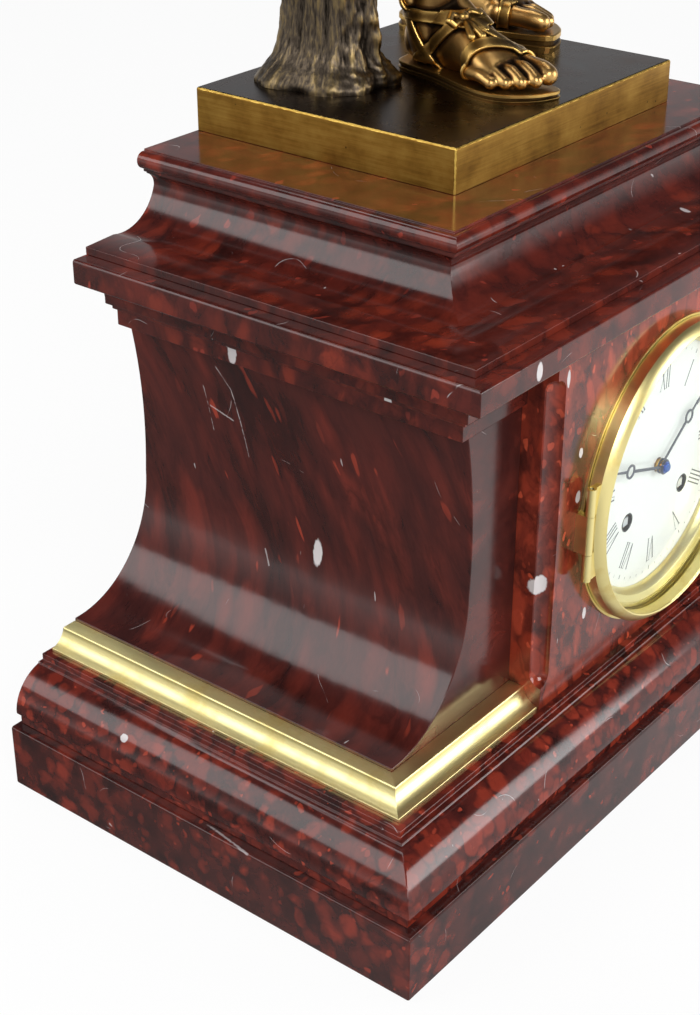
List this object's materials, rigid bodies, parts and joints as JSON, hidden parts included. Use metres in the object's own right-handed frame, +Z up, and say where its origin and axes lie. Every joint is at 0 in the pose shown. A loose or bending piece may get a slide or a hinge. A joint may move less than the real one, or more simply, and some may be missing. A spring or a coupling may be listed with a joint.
{
  "type": "figural mantel clock",
  "caption": "Red marble mantel clock with a round hinged bezel, eight-day striking movement, pendulum, back door and a standing bronze youth by a tree stump.",
  "frame": {"origin": "centre of the underside of the marble base slab, which rests on the shelf", "axes": "+Z up, the dial faces -Y, +X to the right as one looks at the dial"},
  "size_m": [0.437, 0.2308, 0.8185],
  "materials": {
    "marble": "polished red marble",
    "gilt_brass": "gilt, satin and burnished",
    "movement_brass": "lacquered brass",
    "golden_bronze": "satin golden patina",
    "brown_bronze": "brown and gold patina",
    "dial_glass": "polished",
    "white_enamel": "glossy white enamel",
    "steel": "blued and polished",
    "bell_metal": "turned bell metal"
  },
  "bodies": {
    "case": {"base_slab": "marble", "base_moulding": "marble", "left_wing": "marble", "right_wing": "marble", "gilt_mouldings": "gilt_brass", "wing_friezes": "marble", "front_panel": "marble", "side_cheeks": "marble", "back_panel": "marble", "cornice": "marble", "attic": "marble", "top_slab": "marble", "bronze_plinth": "golden_bronze", "figure_studs": "steel", "tree_stump": "brown_bronze", "right_leg": "brown_bronze", "left_leg": "brown_bronze", "tunic": "brown_bronze", "right_arm": "brown_bronze", "left_arm": "brown_bronze", "head": "brown_bronze", "cloak": "brown_bronze", "bezel_seat": "gilt_brass", "sight_ring": "gilt_brass", "hinge_pins": "steel", "dial": "white_enamel", "front_plate": "movement_brass", "back_plate": "movement_brass", "plate_pillars": "movement_brass", "bell": "bell_metal", "suspension_cock": "movement_brass", "movement_straps": "movement_brass", "back_ring": "movement_brass"},
    "bezel_door": {"bezel": "gilt_brass", "bezel_glass": "dial_glass"},
    "rear_door": {"back_door": "movement_brass"},
    "centre_arbor": {"centre_wheel": "movement_brass", "minute_hand": "steel"},
    "hour_pipe": {"hour_wheel": "movement_brass", "hour_hand": "steel"},
    "minute_wheel_body": {"minute_wheel": "movement_brass"},
    "intermediate_arbor": {"intermediate_wheel": "movement_brass"},
    "going_drum": {"going_barrel": "movement_brass", "going_mainspring": "steel"},
    "third_arbor": {"third_wheel": "movement_brass"},
    "escape_arbor": {"escape_wheel": "movement_brass"},
    "going_key_arbor": {"going_arbor": "steel"},
    "going_pawl": {"going_click": "steel"},
    "anchor": {"pallet_anchor": "steel"},
    "pendulum_body": {"pendulum": "movement_brass"},
    "pin_wheel_arbor": {"pin_wheel": "movement_brass"},
    "strike_drum": {"strike_barrel": "movement_brass", "strike_mainspring": "steel"},
    "locking_arbor": {"locking_wheel": "movement_brass"},
    "fly_arbor": {"strike_fly": "movement_brass"},
    "count_body": {"count_wheel": "movement_brass"},
    "strike_key_arbor": {"strike_arbor": "steel"},
    "strike_pawl": {"strike_click": "steel"},
    "detent": {"count_detent": "steel"},
    "hammer_body": {"hammer": "steel"}
  },
  "joints": [
    {"name": "bezel_hinge", "type": "hinge", "parent": "case", "child": "bezel_door", "pos_m": [-0.0727, -0.0951, 0.1412], "axis": [0, 0, -1], "range_deg": [0, 115]},
    {"name": "rear_door_hinge", "type": "hinge", "parent": "case", "child": "rear_door", "pos_m": [-0.0676, 0.11205, 0.142], "axis": [0, 0, 1], "range_deg": [0, 110]},
    {"name": "minute_turn", "type": "hinge", "parent": "case", "child": "centre_arbor", "pos_m": [0, -0.061, 0.142], "axis": [0, 1, 0], "continuous": true},
    {"name": "hour_turn", "type": "hinge", "parent": "case", "child": "hour_pipe", "pos_m": [0, -0.078, 0.142], "axis": [0, 1, 0], "continuous": true},
    {"name": "minute_wheel_turn", "type": "hinge", "parent": "case", "child": "minute_wheel_body", "pos_m": [0.00849, -0.078, 0.15049], "axis": [0, 1, 0], "continuous": true},
    {"name": "intermediate_turn", "type": "hinge", "parent": "case", "child": "intermediate_arbor", "pos_m": [0.01815, -0.061, 0.14729], "axis": [0, 1, 0], "continuous": true},
    {"name": "going_barrel_turn", "type": "hinge", "parent": "case", "child": "going_drum", "pos_m": [0.0241, -0.061, 0.1228], "axis": [0, 1, 0], "continuous": true},
    {"name": "third_turn", "type": "hinge", "parent": "case", "child": "third_arbor", "pos_m": [-0.00745, -0.061, 0.15798], "axis": [0, 1, 0], "continuous": true},
    {"name": "escape_turn", "type": "hinge", "parent": "case", "child": "escape_arbor", "pos_m": [0, -0.061, 0.17189], "axis": [0, 1, 0], "continuous": true},
    {"name": "going_winding", "type": "hinge", "parent": "case", "child": "going_key_arbor", "pos_m": [0.0241, -0.061, 0.1228], "axis": [0, 1, 0], "continuous": true},
    {"name": "going_click_rock", "type": "hinge", "parent": "case", "child": "going_pawl", "pos_m": [0.03501, -0.078, 0.1165], "axis": [0, 1, 0], "range_deg": [0, 12]},
    {"name": "pendulum_swing", "type": "hinge", "parent": "case", "child": "pendulum_body", "pos_m": [0, -0.036, 0.18576], "axis": [0, 1, 0], "range_deg": [-4, 4]},
    {"name": "anchor_rock", "type": "hinge", "parent": "case", "child": "anchor", "pos_m": [0, -0.061, 0.18576], "axis": [0, 1, 0], "range_deg": [-4, 4]},
    {"name": "pin_wheel_turn", "type": "hinge", "parent": "case", "child": "pin_wheel_arbor", "pos_m": [-0.02848, -0.061, 0.14762], "axis": [0, 1, 0], "continuous": true},
    {"name": "strike_barrel_turn", "type": "hinge", "parent": "case", "child": "strike_drum", "pos_m": [-0.0241, -0.061, 0.1228], "axis": [0, 1, 0], "continuous": true},
    {"name": "locking_turn", "type": "hinge", "parent": "case", "child": "locking_arbor", "pos_m": [-0.02577, -0.061, 0.16298], "axis": [0, 1, 0], "continuous": true},
    {"name": "fly_turn", "type": "hinge", "parent": "case", "child": "fly_arbor", "pos_m": [-0.02078, -0.061, 0.17277], "axis": [0, 1, 0], "continuous": true},
    {"name": "count_wheel_turn", "type": "hinge", "parent": "case", "child": "count_body", "pos_m": [-0.02848, -0.044, 0.13162], "axis": [0, 1, 0], "continuous": true},
    {"name": "strike_winding", "type": "hinge", "parent": "case", "child": "strike_key_arbor", "pos_m": [-0.0241, -0.061, 0.1228], "axis": [0, 1, 0], "continuous": true},
    {"name": "strike_click_rock", "type": "hinge", "parent": "case", "child": "strike_pawl", "pos_m": [-0.03501, -0.078, 0.1165], "axis": [0, -1, 0], "range_deg": [0, 12]},
    {"name": "detent_rock", "type": "hinge", "parent": "case", "child": "detent", "pos_m": [-0.04443, -0.044, 0.12418], "axis": [0, -1, 0], "range_deg": [0, 8]},
    {"name": "hammer_swing", "type": "hinge", "parent": "case", "child": "hammer_body", "pos_m": [-0.0445, -0.061, 0.152], "axis": [0, 1, 0], "range_deg": [0, 15], "stiffness_Nm_per_rad": 0.02, "springref_deg": -17.19}
  ],
  "couplings": [
    {"joint": "hour_turn", "follows": "minute_turn", "ratio": 0.083333},
    {"joint": "minute_wheel_turn", "follows": "minute_turn", "ratio": -0.33333},
    {"joint": "intermediate_turn", "follows": "minute_turn", "ratio": -0.16667},
    {"joint": "going_barrel_turn", "follows": "minute_turn", "ratio": 0.027778},
    {"joint": "third_turn", "follows": "minute_turn", "ratio": -12.667},
    {"joint": "escape_turn", "follows": "minute_turn", "ratio": 160.44},
    {"joint": "anchor_rock", "follows": "pendulum_swing", "ratio": 1},
    {"joint": "strike_barrel_turn", "follows": "pin_wheel_turn", "ratio": -0.16667},
    {"joint": "locking_turn", "follows": "pin_wheel_turn", "ratio": -12},
    {"joint": "fly_turn", "follows": "pin_wheel_turn", "ratio": 120},
    {"joint": "count_wheel_turn", "follows": "pin_wheel_turn", "ratio": -0.11111}
  ]
}
